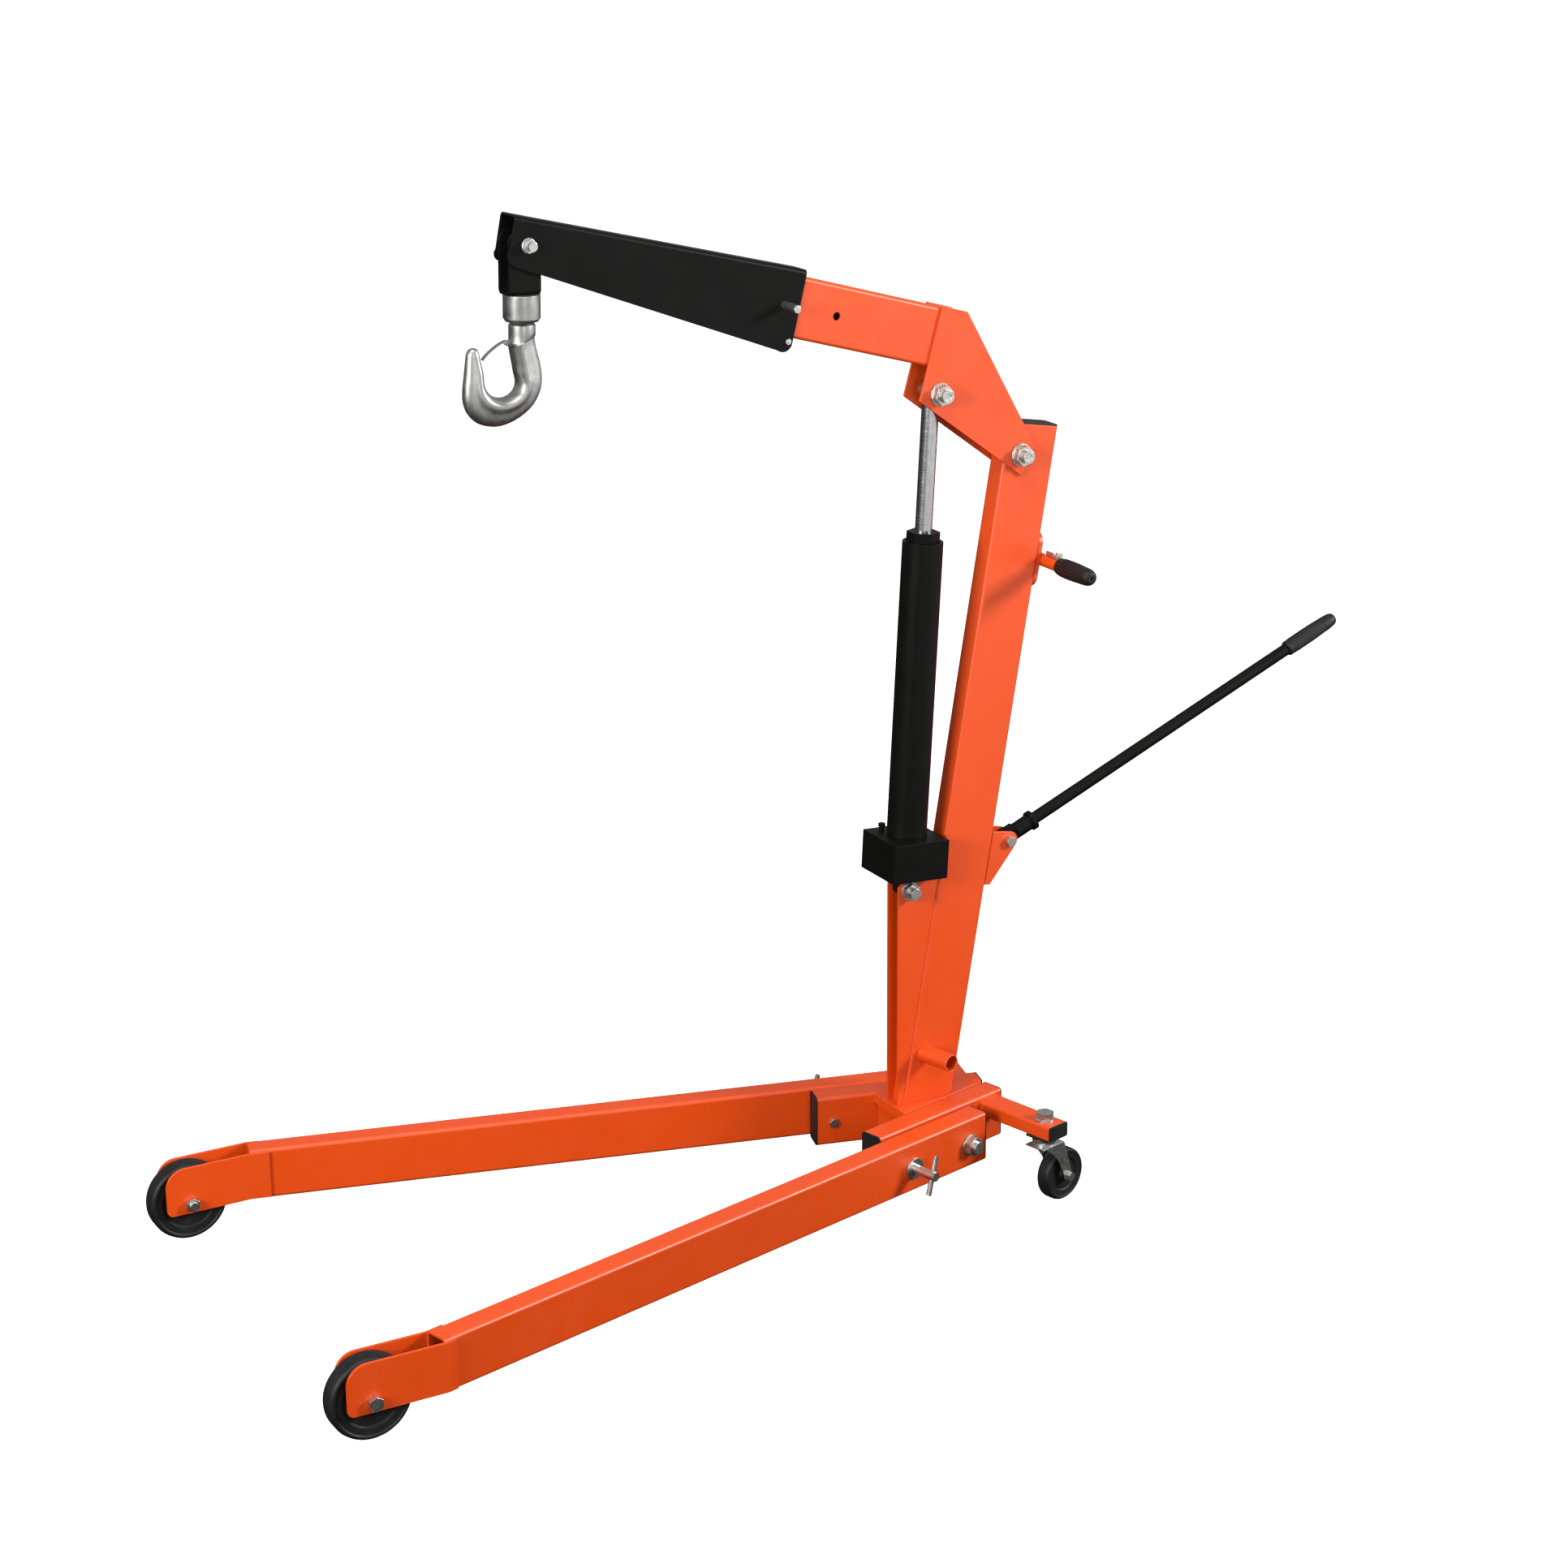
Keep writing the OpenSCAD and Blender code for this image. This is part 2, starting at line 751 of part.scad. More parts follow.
module extension_pin() {
  color(black) ext_frame() {
    bar_x(adjust_pin_r, -channel_out - 30, -channel_in - 0.3);
    bar_x(12, -channel_out - 34, -channel_out - 22);
  }
}

module extension_bolts() {
  color(steel) ext_frame() {
    bar_x(adjust_pin_r, channel_in + 0.3, channel_out + 47);
    translate([0, keeper_v, keeper_u]) {
      bar_x(keeper_r, -channel_out - 6, channel_out + 6);
      hex_x(10, -channel_out - 8, -channel_out);
      hex_x(10, channel_out, channel_out + 3);
    }
    translate([0, tip_v, tip_u]) {
      bar_x(tip_r, -channel_out - 10, channel_out + 20);
      hex_x(24, -channel_out - 14, -channel_out);
      ring_x(13, tip_r, channel_out, channel_out + 2.5);
      hex_nut(22, tip_r - 0.1, channel_out + 2.5, 7);
    }
  }
}

// ---- ram ----

module pump_block() {
  color(black) ram_frame() difference() {
    union() {
      translate([-59.5, -60, block_low]) cube([119, 118, block_high - block_low]);
      translate([-ram_plate_in + 1, -14, 0]) cube([2 * ram_plate_in - 2, 28, block_low + eps]);
      bar_x(16, -ram_plate_in + 1, ram_plate_in - 1);
    }
    bar_x(ram_foot_r + fit, -30, 30);
  }
}

module ram_cylinder() {
  color(black) ram_frame() translate([0, 0, block_high]) difference() {
    cylinder(r = ram_r, h = cyl_top - block_high);
    translate([0, 0, 10]) cylinder(r = ram_r - 7, h = cyl_top);
  }
}

module ram_gland() {
  color(black) ram_frame() difference() {
    union() {
      translate([0, 0, cyl_top]) cylinder(r = 54 / sqrt(3), h = gland_top - cyl_top, $fn = 6);
      translate([0, 0, cyl_top - 24]) cylinder(r = ram_r - 7, h = 24 + eps);
    }
    translate([0, 0, cyl_top - 30]) cylinder(r = ram_rod_r + fit, h = 60);
  }
}

module filler_plug() {
  color(steel) ram_frame() translate([-30, 40, block_high]) cylinder(r = 5, h = 7);
}

module release_valve() {
  color(steel) ram_frame() translate([valve_x, valve_y, block_high]) {
    cylinder(r = 5, h = 6);
    translate([0, 0, 6 - eps]) cylinder(r = 7, h = 7, $fn = 6);
  }
}

module ram_rod() {
  color(steel) ram_frame() difference() {
    union() {
      translate([0, 0, 430]) cylinder(r = ram_r - 7 - fit, h = 30);
      translate([0, 0, 430]) cylinder(r = ram_rod_r, h = ram_len - 430 - 12);
      translate([0, 0, ram_len]) bar_x(21, -15, 15);
    }
    translate([0, 0, ram_len]) bar_x(pivot_r + 0.5, -30, 30);
  }
}

// ---- hook ----

// Clevis bent from thick strap, open to the front and rear
module hook_bracket() {
  half = 29;
  front = 3;
  low = -84;
  color(black) hook_frame() difference() {
    intersection() {
      translate([0, 50, low]) rotate([90, 0, 0]) linear_extrude(100) mirror([0, 1, 0])
        fold_outline(22.5, 6, 9, 120);
      plate_yz(-30, 30) {
        translate([-front, 0]) circle(half);
        translate([-half - front, low]) square([2 * half, -low]);
      }
    }
    bar_x(tip_r + fit, -40, 40);
    translate([0, 0, low - 1]) cylinder(r = 12 + fit, h = 10);
  }
}

// Collar that turns with the hook's neck: stem, nut inside the bracket and sleeve below it
module swivel_collar() {
  color(steel) hook_frame() rotate_extrude()
    polygon([[0, -62], [14, -62], [14, -77.7], [12, -77.7], [12, -84.3], [32, -84.3], [32, -124], [28, -130], [0, -130]]);
}

// Bar of the bowl: from the neck down and round to the point
module hook_bend() {
  rotate([0, 90, 0]) rotate([0, 0, -90 - hook_tip_lean]) rotate_extrude(angle = 270 + hook_tip_lean - hook_start)
    translate([hook_bowl_r, 0]) circle(hook_bar_r);
}

module hook() {
  neck_low = -165;
  neck_r = 23;
  tip_len = 47;
  tip_end_r = 12;
  color(steel) hook_frame() difference() {
    union() {
      translate([0, 0, neck_low]) cylinder(r = neck_r, h = -130 - neck_low);
      translate([0, 0, hook_neck_z]) cylinder(r1 = hook_bar_r, r2 = neck_r, h = neck_low - hook_neck_z);
      translate([0, 0, hook_neck_z]) sphere(hook_bar_r + 0.3);
      translate([0, hook_centre_v, hook_centre_u]) {
        hook_bend();
        rotate([-hook_tip_lean, 0, 0]) translate([0, -hook_bowl_r, 0]) {
          cylinder(r1 = hook_bar_r, r2 = tip_end_r, h = tip_len);
          translate([0, 0, tip_len - 1]) sphere(tip_end_r + 0.4);
        }
      }
      for_sides() plate_yz(latch_half + 0.3, latch_half + 3.3)
        polygon([[-18, latch_u + 8], [-18, latch_u - 8], [latch_v - 5, latch_u - 4], [latch_v - 5, latch_u + 5]]);
      translate([0, latch_v, latch_u]) bar_x(2, -latch_half - 3, latch_half + 3);
    }
    translate([0, 0, -139]) ring_z(30, neck_r - 1.5, 4);
  }
}

module ring_z(r, hole, h) {
  difference() {
    cylinder(r = r, h = h);
    translate([0, 0, -1]) cylinder(r = hole, h = h + 2);
  }
}

// Safety latch: a barrel on its pin and a bent strip that reaches the point
module hook_latch() {
  color(steel) hook_frame() translate([0, latch_v, latch_u]) difference() {
    union() {
      bar_x(4.5, -latch_half, latch_half);
      plate_yz(-latch_half, latch_half)
        polygon([[0, 4.5], [0, 2], [-24, -2.5], [-latch_reach, -24], [-latch_reach - 1.5, -22], [-25, 0]]);
    }
    bar_x(2 + fit, -30, 30);
  }
}

// ---- pump lever ----

module along_lever(y) {
  translate([0, y, -lever_drop]) rotate([-90, 0, 0]) children();
}

module lever_socket() {
  color(black) lever_frame() difference() {
    union() {
      translate([-12, -13, -13]) cube([24, 40, 26]);
      along_lever(26) cylinder(r = 15.7, h = 46);
      along_lever(62) cylinder(r = 19.5, h = 9);
    }
    bar_x(6 + fit, -30, 30);
    along_lever(30) cylinder(r = lever_r + fit, h = 60);
  }
}

module lever_bar() {
  color(black) lever_frame() along_lever(31) cylinder(r = lever_r, h = 790);
}

module lever_grip() {
  color(black) lever_frame() along_lever(715) rotate_extrude()
    polygon([
      [lever_r, 0], [14, 0], [16, 6], [16, 60], [14, 112], [10, 124], [0, 124], [0, 106.2], [lever_r, 106.2]
    ]);
}

base_rails();
base_plate();
cross_panel();
end_caps();
outrigger_arms();
mast();
mast_cap();
ram_plates();
stow_tubes();
lever_bracket();
handle_plate();
push_bar();
push_grips();
handle_clip();
mast_bolts();
leg_pivot_bolts();
pivot_nuts();
pivot_washers();
lock_pin_tips();
caster_bolts();
caster_pads();
leg(1);  // leg_left
leg(-1);  // leg_right
leg_fork(1);  // leg_fork_left
leg_fork(-1);  // leg_fork_right
leg_cap(1);  // leg_cap_left
leg_cap(-1);  // leg_cap_right
axle_bolt(1);  // axle_bolt_left
axle_bolt(-1);  // axle_bolt_right
front_wheel(1);  // front_wheel_left
front_wheel(-1);  // front_wheel_right
lock_pin(1);  // lock_pin_left
lock_pin(-1);  // lock_pin_right
lock_washer(1);  // lock_washer_left
lock_washer(-1);  // lock_washer_right
caster_fork(1);  // caster_fork_left
caster_fork(-1);  // caster_fork_right
caster_wheel(1);  // caster_wheel_left
caster_wheel(-1);  // caster_wheel_right
caster_axle(1);  // caster_axle_left
caster_axle(-1);  // caster_axle_right
boom();
boom_plates();
ram_head_bolt();
extension();
extension_pin();
extension_bolts();
pump_block();
ram_cylinder();
ram_gland();
filler_plug();
release_valve();
ram_rod();
hook_bracket();
swivel_collar();
hook();
hook_latch();
lever_socket();
lever_bar();
lever_grip();
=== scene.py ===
"""Looks of the folding engine hoist crane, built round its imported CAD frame. Metres, +Z up, hook towards -Y."""

import json
import math

import bmesh
import bpy
from mathutils import Matrix, Vector


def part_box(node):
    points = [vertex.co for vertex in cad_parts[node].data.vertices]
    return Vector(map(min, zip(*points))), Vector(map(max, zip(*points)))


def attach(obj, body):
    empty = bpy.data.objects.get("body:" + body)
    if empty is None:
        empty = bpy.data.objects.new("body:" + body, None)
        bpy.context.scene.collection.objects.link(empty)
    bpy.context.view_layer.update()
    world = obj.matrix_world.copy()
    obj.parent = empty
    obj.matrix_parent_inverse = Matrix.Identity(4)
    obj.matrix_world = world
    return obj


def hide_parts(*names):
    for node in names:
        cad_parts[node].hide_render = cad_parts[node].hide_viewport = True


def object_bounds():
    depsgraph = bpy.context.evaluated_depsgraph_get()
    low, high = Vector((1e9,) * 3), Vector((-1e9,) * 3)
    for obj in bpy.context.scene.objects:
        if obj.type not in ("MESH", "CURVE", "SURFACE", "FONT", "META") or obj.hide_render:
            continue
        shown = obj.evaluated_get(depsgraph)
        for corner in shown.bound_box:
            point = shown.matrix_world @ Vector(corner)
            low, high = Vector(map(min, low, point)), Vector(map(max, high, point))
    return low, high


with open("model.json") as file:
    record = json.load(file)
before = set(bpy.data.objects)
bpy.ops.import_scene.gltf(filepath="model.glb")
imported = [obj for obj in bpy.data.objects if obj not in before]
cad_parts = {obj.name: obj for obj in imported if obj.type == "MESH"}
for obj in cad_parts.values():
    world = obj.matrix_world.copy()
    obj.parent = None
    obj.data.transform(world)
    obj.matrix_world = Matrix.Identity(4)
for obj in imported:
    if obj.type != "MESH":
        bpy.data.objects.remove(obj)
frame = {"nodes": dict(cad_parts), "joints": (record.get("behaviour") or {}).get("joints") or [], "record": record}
cad_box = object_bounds()

NODES = frame["nodes"]
JOINTS = {j["name"]: j for j in frame["joints"]}
MM = 0.001
SIDES = (("left", 1), ("right", -1))
TIP_BOLT = JOINTS["bracket_swing"]["pos_m"]

# Edge radius of each slot's pieces, the angle from which an edge is rounded, and what is joined before that
EDGE_RADIUS = {
    "orange_paint": 1.0 * MM,
    "black_paint": 0.9 * MM,
    "zinc_steel": 0.6 * MM,
    "forged_steel": 0.8 * MM,
    "chromed_rod": 0.6 * MM,
    "black_plastic": 0.8 * MM,
    "grip_rubber": 0.8 * MM,
}
SHARP = math.radians(35)
ALMOST_FLAT = math.radians(0.4)
WELD_DISTANCE = 0.01 * MM


# ---- camera, lights and floor ----


# The camera's azimuth, elevation and roll in degrees, its place in metres and its lens in mm
CAMERA_ANGLES = (60.427, 17.781, 0.727)
CAMERA_PLACE = (5.11245, -2.98075, 2.74442)
CAMERA_LENS = 77.57

# Soft boxes: name, direction from the crane, distance, width and height, power, strength in reflections
SOFT_BOXES = (
    ("key", (0.56, 0.74, 0.38), 8.0, (1.6, 1.6), 690.0, 0.45),
    ("top", (0.25, -0.3, 1.0), 4.5, (3.0, 3.0), 130.0, 0.3),
    ("front", (0.35, -0.9, 0.3), 8.0, (2.6, 2.6), 640.0, 0.4),
    ("strip", (0.93, -0.2, 0.26), 6.0, (0.35, 2.6), 60.0, 1.0),
)
SURROUNDINGS = 0.34

# The floor's half width, its own glow to the camera, and the glow that reflections see: its direction over the
# floor, the distances along it where it starts and ends, and its strength there
FLOOR_HALF = 30.0
FLOOR_GLOW = 0.8
GLOW_DIRECTION = (0.85, 0.5, 0.0)
GLOW_RAMP = (1.2, 4.2, 0.03, 0.95)


def make_camera():
    """A long lens from the hook's side, a little above the boom."""
    azimuth, elevation, roll = (math.radians(a) for a in CAMERA_ANGLES)
    data = bpy.data.cameras.new("camera")
    data.lens = CAMERA_LENS
    data.sensor_width = 36.0
    data.clip_end = 60.0
    cam = bpy.data.objects.new("camera", data)
    turn = Matrix.Rotation(azimuth, 4, "Z") @ Matrix.Rotation(math.pi / 2 - elevation, 4, "X")
    place = Matrix.Translation(Vector(CAMERA_PLACE))
    cam.matrix_world = place @ turn @ Matrix.Rotation(roll, 4, "Z")
    bpy.context.scene.collection.objects.link(cam)
    bpy.context.scene.camera = cam


def soft_box(name, direction, distance, size, power, gloss):
    """A soft box that looks at the middle of the crane from a direction."""
    low, high = cad_box
    middle = (Vector(low) + Vector(high)) / 2
    data = bpy.data.lights.new(name, "AREA")
    data.shape = "RECTANGLE"
    data.size, data.size_y = size
    data.energy = power
    data.specular_factor = gloss
    light = bpy.data.objects.new(name, data)
    towards = Vector(direction).normalized()
    light.location = middle + towards * distance
    light.rotation_euler = towards.to_track_quat("Z", "Y").to_euler()
    bpy.context.scene.collection.objects.link(light)


def for_camera(nt, seen, other):
    """A shader that looks like seen to the camera and lights the scene like other."""
    path = nt.nodes.new("ShaderNodeLightPath")
    mix = nt.nodes.new("ShaderNodeMixShader")
    nt.links.new(path.outputs["Is Camera Ray"], mix.inputs[0])
    nt.links.new(other, mix.inputs[1])
    nt.links.new(seen, mix.inputs[2])
    return mix.outputs[0]


def make_lights():
    """White surroundings for the eye, dimmer ones for reflections, and four soft boxes."""
    scene = bpy.context.scene
    scene.view_settings.view_transform = "Standard"
    world = bpy.data.worlds.new("studio")
    scene.world = world
    world.use_nodes = True
    nt = world.node_tree
    dim = nt.nodes["Background"]
    dim.inputs["Color"].default_value = (1.0, 1.0, 1.0, 1.0)
    dim.inputs["Strength"].default_value = SURROUNDINGS
    white = nt.nodes.new("ShaderNodeBackground")
    white.inputs["Color"].default_value = (1.0, 1.0, 1.0, 1.0)
    out = nt.nodes["World Output"]
    nt.links.new(for_camera(nt, white.outputs[0], dim.outputs[0]), out.inputs["Surface"])
    for box in SOFT_BOXES:
        soft_box(*box)


def make_floor():
    """Pale floor. In reflections it is dark near the crane and bright towards the key light."""
    mesh = bpy.data.meshes.new("floor")
    corners = [(x * FLOOR_HALF, y * FLOOR_HALF, 0) for x, y in ((-1, -1), (1, -1), (1, 1), (-1, 1))]
    mesh.from_pydata(corners, [], [(0, 1, 2, 3)])
    floor = bpy.data.objects.new("floor", mesh)
    mat, nt, bsdf = new_material("studio_floor")
    bsdf.inputs["Base Color"].default_value = (0.9, 0.9, 0.9, 1.0)
    bsdf.inputs["Roughness"].default_value = 0.9
    bsdf.inputs["Emission Color"].default_value = (1.0, 1.0, 1.0, 1.0)
    bsdf.inputs["Emission Strength"].default_value = FLOOR_GLOW
    dim = nt.nodes.new("ShaderNodeEmission")
    along = nt.nodes.new("ShaderNodeVectorMath")
    along.operation = "DOT_PRODUCT"
    along.inputs[1].default_value = GLOW_DIRECTION
    nt.links.new(position(nt), along.inputs[0])
    nt.links.new(remap(nt, along.outputs["Value"], *GLOW_RAMP), dim.inputs["Strength"])
    out = nt.nodes["Material Output"]
    nt.links.new(for_camera(nt, bsdf.outputs[0], dim.outputs[0]), out.inputs["Surface"])
    mesh.materials.append(mat)
    bpy.context.scene.collection.objects.link(floor)


# ---- materials ----


def new_material(name):
    mat = bpy.data.materials.new(name)
    mat.use_nodes = True
    nt = mat.node_tree
    return mat, nt, nt.nodes["Principled BSDF"]


def position(nt, scale=(1.0, 1.0, 1.0)):
    """The piece's own coordinates in metres, stretched by scale."""
    coords = nt.nodes.new("ShaderNodeTexCoord")
    mapping = nt.nodes.new("ShaderNodeMapping")
    mapping.inputs["Scale"].default_value = scale
    nt.links.new(coords.outputs["Object"], mapping.inputs["Vector"])
    return mapping.outputs["Vector"]


def noise(nt, vector, scale, detail, rough=0.5):
    tex = nt.nodes.new("ShaderNodeTexNoise")
    tex.inputs["Scale"].default_value = scale
    tex.inputs["Detail"].default_value = detail
    tex.inputs["Roughness"].default_value = rough
    nt.links.new(vector, tex.inputs["Vector"])
    return tex.outputs["Fac"]


def remap(nt, value, low, high, to_low, to_high):
    node = nt.nodes.new("ShaderNodeMapRange")
    node.inputs["From Min"].default_value = low
    node.inputs["From Max"].default_value = high
    node.inputs["To Min"].default_value = to_low
    node.inputs["To Max"].default_value = to_high
    nt.links.new(value, node.inputs["Value"])
    return node.outputs["Result"]


def mix_colour(nt, factor, first, second):
    """Blend of two colours, each a colour or a socket."""
    node = nt.nodes.new("ShaderNodeMix")
    node.data_type = "RGBA"
    nt.links.new(factor, node.inputs["Factor"])
    for key, colour in ((6, first), (7, second)):
        if isinstance(colour, tuple):
            node.inputs[key].default_value = (*colour, 1.0)
        else:
            nt.links.new(colour, node.inputs[key])
    return node.outputs[2]


def bump(nt, bsdf, height, distance, strength, after=None):
    """Relief of the given height in metres, on top of what came before it."""
    node = nt.nodes.new("ShaderNodeBump")
    node.inputs["Distance"].default_value = distance
    node.inputs["Strength"].default_value = strength
    nt.links.new(height, node.inputs["Height"])
    if after is not None:
        nt.links.new(after, node.inputs["Normal"])
    nt.links.new(node.outputs["Normal"], bsdf.inputs["Normal"])
    return node.outputs["Normal"]


def painted(name, colour, worn, shine, specular, peel):
    """Powder coat: slow changes of shade, orange peel of the given depth, a few rubbed streaks."""
    mat, nt, bsdf = new_material(name)
    here = position(nt)
    cloud = remap(nt, noise(nt, here, 2.3, 4.0), 0.3, 0.7, 0.0, 1.0)
    shaded = mix_colour(nt, cloud, colour, tuple(c * 0.9 for c in colour))
    rubs = remap(nt, noise(nt, position(nt, (1.0, 0.25, 2.4)), 46.0, 6.0, 0.65), 0.66, 0.8, 0.0, 0.35)
    nt.links.new(mix_colour(nt, rubs, shaded, worn), bsdf.inputs["Base Color"])
    gloss = noise(nt, here, 18.0, 5.0)
    nt.links.new(remap(nt, gloss, 0.3, 0.7, shine - 0.05, shine + 0.07), bsdf.inputs["Roughness"])
    bsdf.inputs["Specular IOR Level"].default_value = specular
    coarse = bump(nt, bsdf, noise(nt, here, 420.0, 2.0), peel, 0.5)
    bump(nt, bsdf, noise(nt, here, 1500.0, 1.0), peel * 0.3, 0.4, coarse)
    return mat


def plated(name, colour, dull, rough, stretch=(1.0, 1.0, 1.0), line_scale=260.0, depth=0.04 * MM):
    """Bare or plated metal: mottled tone, fine marks along the stretch."""
    mat, nt, bsdf = new_material(name)
    here = position(nt)
    spots = remap(nt, noise(nt, here, 70.0, 6.0, 0.6), 0.35, 0.7, 0.0, 1.0)
    nt.links.new(mix_colour(nt, spots, colour, dull), bsdf.inputs["Base Color"])
    bsdf.inputs["Metallic"].default_value = 1.0
    marks = noise(nt, position(nt, stretch), line_scale, 4.0, 0.6)
    nt.links.new(remap(nt, marks, 0.3, 0.7, rough - 0.07, rough + 0.09), bsdf.inputs["Roughness"])
    bump(nt, bsdf, marks, depth, 0.6)
    return mat


def moulded(name, colour, dusty, rough, grain_scale, depth):
    """Moulded plastic or rubber: fine grain and a trace of dust."""
    mat, nt, bsdf = new_material(name)
    here = position(nt)
    dust = remap(nt, noise(nt, here, 24.0, 6.0, 0.65), 0.45, 0.75, 0.0, 0.7)
    nt.links.new(mix_colour(nt, dust, colour, dusty), bsdf.inputs["Base Color"])
    nt.links.new(remap(nt, dust, 0.0, 0.7, rough - 0.05, rough + 0.12), bsdf.inputs["Roughness"])
    bsdf.inputs["Specular IOR Level"].default_value = 0.3
    bump(nt, bsdf, noise(nt, here, grain_scale, 2.0), depth, 0.6)
    return mat


def make_materials():
    """One material for each slot of the record."""
    return {
        "orange_paint": painted(
            "orange_powder_coat", (0.63, 0.057, 0.001), (0.7, 0.095, 0.007), 0.4, 0.6, 0.12 * MM
        ),
        "black_paint": painted(
            "black_satin_paint", (0.0032, 0.0032, 0.003), (0.007, 0.007, 0.0067), 0.4, 0.1, 0.06 * MM
        ),
        "zinc_steel": plated("zinc_plating", (0.62, 0.63, 0.6), (0.5, 0.5, 0.47), 0.34),
        "forged_steel": plated(
            "forged_steel", (0.36, 0.36, 0.35), (0.31, 0.31, 0.3), 0.4, line_scale=60.0, depth=0.006 * MM
        ),
        "chromed_rod": plated(
            "chromed_rod", (0.55, 0.55, 0.55), (0.45, 0.45, 0.45), 0.24, (1.0, 1.0, 26.0), 60.0, 0.02 * MM
        ),
        "black_plastic": moulded(
            "black_plastic", (0.006, 0.006, 0.006), (0.013, 0.013, 0.0125), 0.55, 900.0, 0.08 * MM
        ),
        "grip_rubber": moulded(
            "grip_rubber", (0.0045, 0.0045, 0.0045), (0.01, 0.01, 0.0095), 0.6, 1200.0, 0.1 * MM
        ),
    }


# ---- CAD nodes ----


def dress_node(node, slot_name, material):
    """Gives a CAD node its material and rounds its edges."""
    node.data.materials.clear()
    node.data.materials.append(material)
    weld = node.modifiers.new("weld", "WELD")
    weld.merge_threshold = WELD_DISTANCE
    flat = node.modifiers.new("flat", "DECIMATE")
    flat.decimate_type = "DISSOLVE"
    flat.angle_limit = ALMOST_FLAT
    edge = node.modifiers.new("edge", "BEVEL")
    edge.width = EDGE_RADIUS[slot_name]
    edge.segments = 2
    edge.limit_method = "ANGLE"
    edge.angle_limit = SHARP
    edge.use_clamp_overlap = True
    smooth_by_angle(node)


def smooth_by_angle(obj):
    """Smooth shading with sharp edges kept, weighted by face area."""
    for poly in obj.data.polygons:
        poly.use_smooth = True
    weighted = obj.modifiers.new("shade", "WEIGHTED_NORMAL")
    weighted.keep_sharp = True


def dress_nodes(materials):
    for part in frame["record"]["subparts"]:
        node = NODES[part["node"]]
        dress_node(node, part["material_slot"], materials[part["material_slot"]])


# ---- forged hook and its latch ----

# Stations down the hook, in mm from the extension's tip bolt: the inner edge (y, z), the outer edge (y, z), the
# half width across, and how far the section is forged: 0 is round, 1 a bead with a flatter web behind it
HOOK_NECK = (
    (-20.0, -130.5, 20.0, -130.5, 20.0, 0.0),
    (-20.0, -134.6, 20.0, -134.6, 20.0, 0.0),
    (-22.2, -134.8, 22.2, -134.8, 22.2, 0.0),
    (-23.0, -136.2, 23.0, -136.2, 23.0, 0.0),
    (-23.0, -150.0, 23.0, -146.0, 23.0, 0.0),
    (-23.0, -165.5, 22.8, -153.0, 23.0, 0.0),
)
HOOK_BODY = (
    (-22.8, -168.0, 21.5, -155.0, 22.6, 1.0),
    (-22.0, -176.0, 22.8, -167.0, 22.2, 1.0),
    (-20.5, -186.0, 26.0, -181.0, 22.0, 1.0),
    (-18.0, -200.0, 30.5, -197.0, 21.5, 1.0),
    (-15.0, -217.0, 34.0, -215.0, 21.5, 1.0),
    (-11.5, -232.0, 34.5, -236.0, 22.0, 1.0),
    (-13.5, -243.0, 28.0, -257.0, 22.5, 1.0),
    (-20.5, -251.5, 13.0, -278.0, 23.0, 1.0),
    (-32.0, -256.2, -14.0, -296.0, 23.3, 1.0),
    (-45.0, -256.0, -47.0, -305.5, 23.3, 1.0),
    (-57.0, -252.0, -80.0, -299.0, 22.5, 1.0),
    (-66.0, -244.0, -101.0, -282.0, 21.0, 1.0),
    (-71.5, -233.0, -109.5, -261.0, 19.5, 0.9),
    (-73.0, -220.0, -110.0, -238.0, 18.0, 0.8),
    (-74.0, -208.0, -107.5, -218.0, 16.5, 0.7),
    (-77.0, -196.0, -105.5, -201.0, 14.5, 0.6),
    (-79.0, -186.0, -104.0, -188.0, 13.0, 0.5),
    (-80.5, -178.0, -102.5, -178.5, 11.5, 0.4),
    (-83.0, -171.5, -98.5, -171.5, 8.0, 0.3),
    (-88.0, -168.8, -93.5, -169.0, 2.5, 0.3),
)
# Half outline of the forged section: the share of the way from the inner edge to the outer one, and the share
# of the half width there
FORGED = (
    (0.0, 0.0),
    (0.015, 0.3),
    (0.06, 0.6),
    (0.14, 0.86),
    (0.24, 1.0),
    (0.34, 1.0),
    (0.43, 0.93),
    (0.52, 0.85),
    (0.63, 0.79),
    (0.76, 0.71),
    (0.88, 0.56),
    (0.96, 0.33),
    (1.0, 0.0),
)
HOOK_STEPS = 6
SECTION_STEPS = 3

# Side outline of the lug on the hook that carries the latch, and its half width, in the same terms
LATCH_LUG = (
    (-18.0, -174.0),
    (-27.0, -171.0),
    (-31.5, -168.6),
    (-33.3, -166.0),
    (-32.5, -163.8),
    (-30.0, -162.6),
    (-28.2, -161.8),
    (-27.6, -160.4),
    (-18.0, -158.0),
)
LUG_HALF = 2.6

# The latch's strip from the lug to the hook's tip, in the same terms, and its section in metres
LATCH_LINE = (
    (-28.4, -161.3),
    (-30.0, -161.3),
    (-34.0, -162.4),
    (-47.5, -168.6),
    (-64.0, -180.2),
    (-74.2, -190.6),
)
LATCH_STEPS = 5
LATCH_WIDTH = 13.0 * MM
LATCH_THICK = 1.6 * MM
LATCH_TAPER = 0.25
LATCH_EDGE = 0.3 * MM


def between(p, q, r, s, t):
    """Catmull-Rom value at the share t of the way from q to r."""
    return 0.5 * (2 * q + (r - p) * t + (2 * p - 5 * q + 4 * r - s) * t**2 + (3 * q - p - 3 * r + s) * t**3)


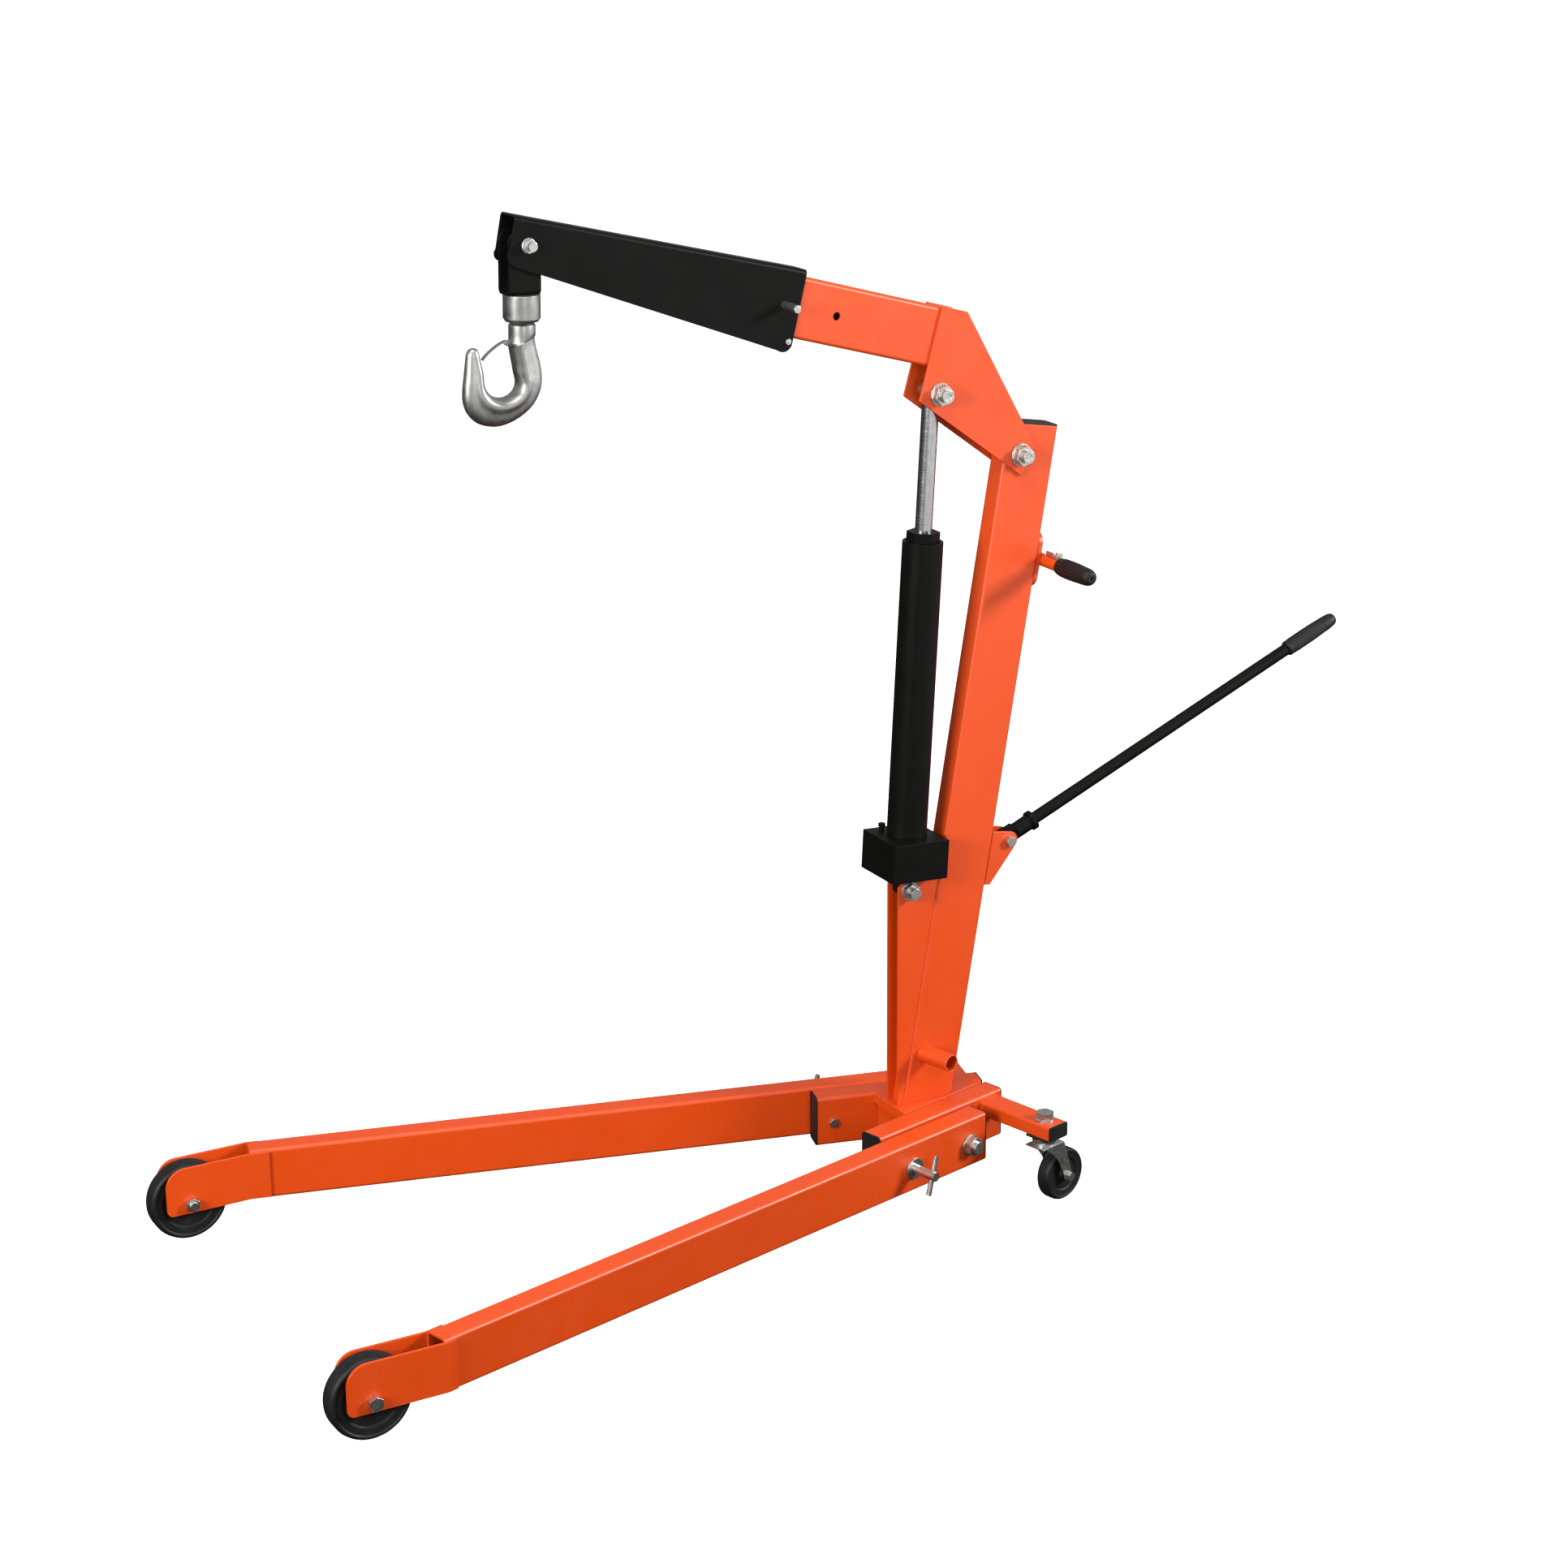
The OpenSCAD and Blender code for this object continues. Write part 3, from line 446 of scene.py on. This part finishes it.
def smooth_rows(rows, steps):
    """Catmull-Rom curve through rows of numbers, the ends included."""
    padded = (rows[0], *rows, rows[-1])
    out = []
    for four in zip(padded, padded[1:], padded[2:], padded[3:]):
        for i in range(steps):
            out.append([between(*values, i / steps) for values in zip(*four)])
    out.append(list(rows[-1]))
    return out


def hook_ring(row):
    """One section of the hook, from its inner edge over one side to the outer edge and back."""
    in_y, in_z, out_y, out_z, half = (v * MM for v in row[:5])
    forged = row[5]
    side = []
    for share, wide in smooth_rows(FORGED, SECTION_STEPS):
        angle = math.pi * share
        across = (1 - forged) * math.sin(angle) + forged * wide
        t = (1 - forged) * (1 - math.cos(angle)) / 2 + forged * share
        side.append((half * across, in_y + (out_y - in_y) * t, in_z + (out_z - in_z) * t))
    return side + [(-x, y, z) for x, y, z in side[-2:0:-1]]


def mesh_object(name, verts, faces, origin):
    mesh = bpy.data.meshes.new(name)
    mesh.from_pydata([tuple(Vector(v) + Vector(origin)) for v in verts], [], faces)
    mesh.validate()
    obj = bpy.data.objects.new(name, mesh)
    bpy.context.scene.collection.objects.link(obj)
    return obj


def tube_faces(rings, around, first=0):
    """Faces between rings of the same number of points, and one at each end."""
    faces = []
    for k in range(rings - 1):
        for i in range(around):
            j = (i + 1) % around
            faces.append((k * around + i, k * around + j, (k + 1) * around + j, (k + 1) * around + i))
    faces.append(tuple(reversed(range(around))))
    faces.append(tuple((rings - 1) * around + i for i in range(around)))
    return [tuple(first + i for i in face) for face in faces]


def face_outwards(obj):
    bm = bmesh.new()
    bm.from_mesh(obj.data)
    bmesh.ops.recalc_face_normals(bm, faces=bm.faces)
    bm.to_mesh(obj.data)
    bm.free()


def finish_piece(obj, material, body, node):
    """Gives a new piece its material, outward faces, smooth shading and body, and hides the CAD node that it
    stands for.
    """
    obj.data.materials.append(material)
    face_outwards(obj)
    smooth_by_angle(obj)
    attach(obj, body)
    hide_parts(node)


def make_hook(material):
    """Forged hook, with the lug that carries its latch."""
    rings = [hook_ring(row) for row in [*HOOK_NECK, *smooth_rows(HOOK_BODY, HOOK_STEPS)]]
    verts = [point for ring in rings for point in ring]
    faces = tube_faces(len(rings), len(rings[0])) + tube_faces(2, len(LATCH_LUG), len(verts))
    verts += [(x * MM, y * MM, z * MM) for x in (-LUG_HALF, LUG_HALF) for y, z in LATCH_LUG]
    hook = mesh_object("forged_hook", verts, faces, TIP_BOLT)
    finish_piece(hook, material, "hook", "hook")


def make_latch(material):
    """Spring strip that closes the hook's throat."""
    line = [(y * MM, z * MM) for y, z in smooth_rows(LATCH_LINE, LATCH_STEPS)]
    verts = []
    for k, (y, z) in enumerate(line):
        before, after = line[max(k - 1, 0)], line[min(k + 1, len(line) - 1)]
        along = Vector((0, after[0] - before[0], after[1] - before[1])).normalized()
        up = Vector((1, 0, 0)).cross(along) * (LATCH_THICK / 2)
        half = LATCH_WIDTH / 2 * (1 - LATCH_TAPER * k / len(line))
        for x, side in ((-half, 1), (half, 1), (half, -1), (-half, -1)):
            verts.append((x, y + up.y * side, z + up.z * side))
    latch = mesh_object("throat_latch", verts, tube_faces(len(line), 4), TIP_BOLT)
    edge = latch.modifiers.new("edge", "BEVEL")
    edge.width = LATCH_EDGE
    edge.segments = 2
    finish_piece(latch, material, "hook_latch", "hook_latch")


# ---- ribbed grips ----

# Outline of a grip from its open end to its closed one, in mm: distance along, radius, depth of the ribs
PUSH_GRIP = (
    (0.0, 12.1, 0),
    (0.0, 14.2, 0),
    (0.8, 15.4, 0),
    (4.0, 16.2, 0),
    (5.5, 15.6, 0),
    (8.0, 16.4, 0.5),
    (12.0, 17.4, 1.6),
    (28.0, 18.0, 1.9),
    (46.0, 18.0, 1.9),
    (63.0, 17.4, 1.7),
    (73.0, 16.8, 0.8),
    (77.0, 16.9, 0),
    (89.0, 16.2, 0),
    (96.0, 14.9, 0),
    (101.0, 12.4, 0),
    (103.6, 9.0, 0),
    (104.0, 6.0, 0),
    (103.9, 2.9, 0),
    (102.0, 2.6, 0),
    (100.0, 0.4, 0),
)
LEVER_GRIP = (
    (0.0, 12.1, 0),
    (0.0, 13.6, 0),
    (0.8, 14.6, 0),
    (5.0, 15.8, 0),
    (7.0, 15.2, 0),
    (10.0, 15.2, 0.4),
    (16.0, 15.9, 1.1),
    (60.0, 16.0, 1.2),
    (84.0, 15.2, 1.1),
    (92.0, 14.8, 0.5),
    (96.0, 14.9, 0),
    (110.0, 14.0, 0),
    (118.0, 12.4, 0),
    (122.5, 10.0, 0),
    (124.0, 7.0, 0),
    (123.9, 2.9, 0),
    (122.0, 2.6, 0),
    (120.0, 0.4, 0),
)
# Where the lever's grip starts, from the bar's middle
LEVER_GRIP_START = 289.0 * MM
GRIP_STEPS = 3
RIBS = 16
POINTS_PER_RIB = 6


def make_grip(name, outline, start, along, material, body, node):
    """Lathed grip with lengthwise ribs and a small hole in its end."""
    along = Vector(along).normalized()
    one = along.orthogonal().normalized()
    two = along.cross(one)
    around = RIBS * POINTS_PER_RIB
    rows = smooth_rows(outline, GRIP_STEPS)
    verts = []
    for far, radius, rib in rows:
        for i in range(around):
            a = 2 * math.pi * i / around
            groove = max(0.0, math.cos(RIBS * a)) ** 2
            r = (radius - max(rib, 0.0) * groove) * MM
            verts.append(tuple(along * far * MM + (one * math.cos(a) + two * math.sin(a)) * r))
    grip = mesh_object(name, verts, tube_faces(len(rows), around), start)
    finish_piece(grip, material, body, node)


def box_centre(node):
    low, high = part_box(node)
    return (Vector(low) + Vector(high)) / 2


def make_push_grips(material):
    """A pair on the ends of the push bar, which stands for the one node that holds both."""
    centre = box_centre("push_bar")
    grip_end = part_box("push_grips")[1][0]
    reach = grip_end - PUSH_GRIP[-3][0] * MM
    for side_name, sign in SIDES:
        start = Vector((sign * reach, centre.y, centre.z))
        make_grip("push_grip_" + side_name, PUSH_GRIP, start, (sign, 0, 0), material, "frame", "push_grips")


def make_lever_grip(material):
    """Longer and thinner grip on the end of the lever bar."""
    along = Vector(JOINTS["lever_bar_slide"]["axis"]).normalized()
    start = box_centre("lever_bar") + along * LEVER_GRIP_START
    make_grip("lever_grip_sleeve", LEVER_GRIP, start, along, material, "lever_bar", "lever_grip")


make_camera()
make_lights()
make_floor()
MATERIALS = make_materials()
dress_nodes(MATERIALS)
make_hook(MATERIALS["forged_steel"])
make_latch(MATERIALS["forged_steel"])
make_push_grips(MATERIALS["grip_rubber"])
make_lever_grip(MATERIALS["grip_rubber"])

bpy.context.view_layer.update()
